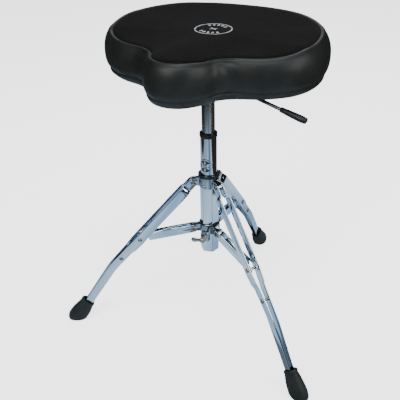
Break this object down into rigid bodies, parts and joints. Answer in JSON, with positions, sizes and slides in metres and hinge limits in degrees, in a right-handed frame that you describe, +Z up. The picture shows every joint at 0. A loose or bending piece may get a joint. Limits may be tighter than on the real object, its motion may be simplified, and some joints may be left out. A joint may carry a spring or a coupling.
{
  "type": "drum throne",
  "caption": "Saddle seat with a cloth top and a swivelling gas lift under a lever, on a folding tripod of paired chrome legs with a sliding collar and struts.",
  "frame": {"origin": "middle of the bounding box's footprint, on the floor; the column's axis stands at x 0.0536, y -0.0075", "axes": "+Z up the column; -Y towards the viewer, with the saddle's nose 25 degrees from it towards -X"},
  "size_m": [0.5914, 0.6091, 0.6939],
  "materials": {
    "chrome": "bright chrome plate",
    "dark_steel": "satin dark grey",
    "zinc_steel": "zinc plated, satin",
    "brass_grey": "dull cast metal",
    "black_plastic": "matte black",
    "black_rubber": "matte black",
    "plywood": "raw plywood",
    "foam": "open-cell foam",
    "black_vinyl": "soft sheen",
    "black_velour": "short pile",
    "light_thread": "embroidered",
    "black_cloth": "thin woven cloth"
  },
  "bodies": {
    "column": {"hex_tube": "chrome", "round_tube": "chrome", "hub": "chrome", "hub_screw_1": "zinc_steel", "hub_screw_2": "zinc_steel", "hub_screw_3": "zinc_steel", "tube_bushing": "black_plastic", "column_badge": "zinc_steel", "base_plate": "dark_steel", "thrust_bearing": "zinc_steel"},
    "leg_1": {"leg_1_plate_left": "chrome", "leg_1_plate_right": "chrome", "foot_1": "black_rubber", "leg_1_hub_pin": "zinc_steel", "leg_1_strut_pin": "zinc_steel", "leg_1_rivet": "zinc_steel"},
    "leg_2": {"leg_2_plate_left": "chrome", "leg_2_plate_right": "chrome", "foot_2": "black_rubber", "leg_2_hub_pin": "zinc_steel", "leg_2_strut_pin": "zinc_steel", "leg_2_rivet": "zinc_steel"},
    "leg_3": {"leg_3_plate_left": "chrome", "leg_3_plate_right": "chrome", "foot_3": "black_rubber", "leg_3_hub_pin": "zinc_steel", "leg_3_strut_pin": "zinc_steel", "leg_3_rivet": "zinc_steel"},
    "collar": {"collar": "chrome", "collar_pin_1": "zinc_steel", "collar_pin_2": "zinc_steel", "collar_pin_3": "zinc_steel"},
    "strut_1": {"strut_1": "chrome"},
    "strut_2": {"strut_2": "chrome"},
    "strut_3": {"strut_3": "chrome"},
    "wing_bolt": {"wing_bolt": "brass_grey"},
    "piston": {"piston_rod": "dark_steel", "gas_piston": "black_plastic", "rod_clip": "zinc_steel"},
    "seat": {"gas_cylinder": "dark_steel", "rod_guide": "black_plastic", "seat_board": "plywood", "seat_foam": "foam", "side_cover": "black_vinyl", "top_cover": "black_velour", "dust_cover": "black_cloth", "seat_emblem": "light_thread", "seat_bracket": "dark_steel", "bracket_bolt_1": "zinc_steel", "bracket_bolt_2": "zinc_steel", "bracket_bolt_3": "zinc_steel", "bracket_bolt_4": "zinc_steel"},
    "lever": {"lever_rod": "dark_steel", "lever_handle": "black_plastic", "lever_pin": "zinc_steel"},
    "button": {"gas_button": "zinc_steel"}
  },
  "joints": [
    {"name": "leg_1_fold", "type": "hinge", "parent": "column", "child": "leg_1", "pos_m": [0.07017, 0.02446, 0.367], "axis": [-0.8878, 0.4602, 0], "range_deg": [0, 38]},
    {"name": "leg_2_fold", "type": "hinge", "parent": "column", "child": "leg_2", "pos_m": [0.01764, -0.00913, 0.367], "axis": [0.0454, -0.999, 0], "range_deg": [0, 38]},
    {"name": "leg_3_fold", "type": "hinge", "parent": "column", "child": "leg_3", "pos_m": [0.073, -0.03783, 0.367], "axis": [0.8425, 0.5388, 0], "range_deg": [0, 38]},
    {"name": "collar_slide", "type": "slide", "parent": "column", "child": "collar", "axis": [0, 0, 1], "range_m": [0, 0.0568]},
    {"name": "strut_1_swing", "type": "hinge", "parent": "collar", "child": "strut_1", "pos_m": [0.07063, 0.02535, 0.2485], "axis": [-0.8878, 0.4602, 0], "range_deg": [0, 75.6]},
    {"name": "strut_2_swing", "type": "hinge", "parent": "collar", "child": "strut_2", "pos_m": [0.01664, -0.00918, 0.2485], "axis": [0.0454, -0.999, 0], "range_deg": [0, 75.6]},
    {"name": "strut_3_swing", "type": "hinge", "parent": "collar", "child": "strut_3", "pos_m": [0.07354, -0.03867, 0.2485], "axis": [0.8425, 0.5388, 0], "range_deg": [0, 75.6]},
    {"name": "wing_bolt_turn", "type": "hinge", "parent": "collar", "child": "wing_bolt", "pos_m": [0.03749, -0.03857, 0.234], "axis": [-0.4602, -0.8878, 0], "continuous": true},
    {"name": "seat_swivel", "type": "hinge", "parent": "column", "child": "piston", "pos_m": [0.0536, -0.0075, 0.2063], "axis": [0, 0, 1], "continuous": true},
    {"name": "seat_lift", "type": "slide", "parent": "piston", "child": "seat", "axis": [0, 0, 1], "range_m": [-0.07, 0.03]},
    {"name": "lever_lift", "type": "hinge", "parent": "seat", "child": "lever", "pos_m": [0.07772, -0.02534, 0.587], "axis": [-0.5948, -0.8039, 0], "range_deg": [0, 5], "stiffness_Nm_per_rad": 2, "springref_deg": -6.88},
    {"name": "button_press", "type": "slide", "parent": "seat", "child": "button", "axis": [0, 0, -1], "range_m": [0, 0.0027]}
  ],
  "couplings": [
    {"joint": "leg_2_fold", "follows": "leg_1_fold", "ratio": 1},
    {"joint": "leg_3_fold", "follows": "leg_1_fold", "ratio": 1},
    {"joint": "collar_slide", "follows": "leg_1_fold", "m_per_rad": 0.085493},
    {"joint": "strut_1_swing", "follows": "leg_1_fold", "ratio": 1.9872},
    {"joint": "strut_2_swing", "follows": "leg_1_fold", "ratio": 1.9872},
    {"joint": "strut_3_swing", "follows": "leg_1_fold", "ratio": 1.9872},
    {"joint": "button_press", "follows": "lever_lift", "m_per_rad": 0.03}
  ]
}
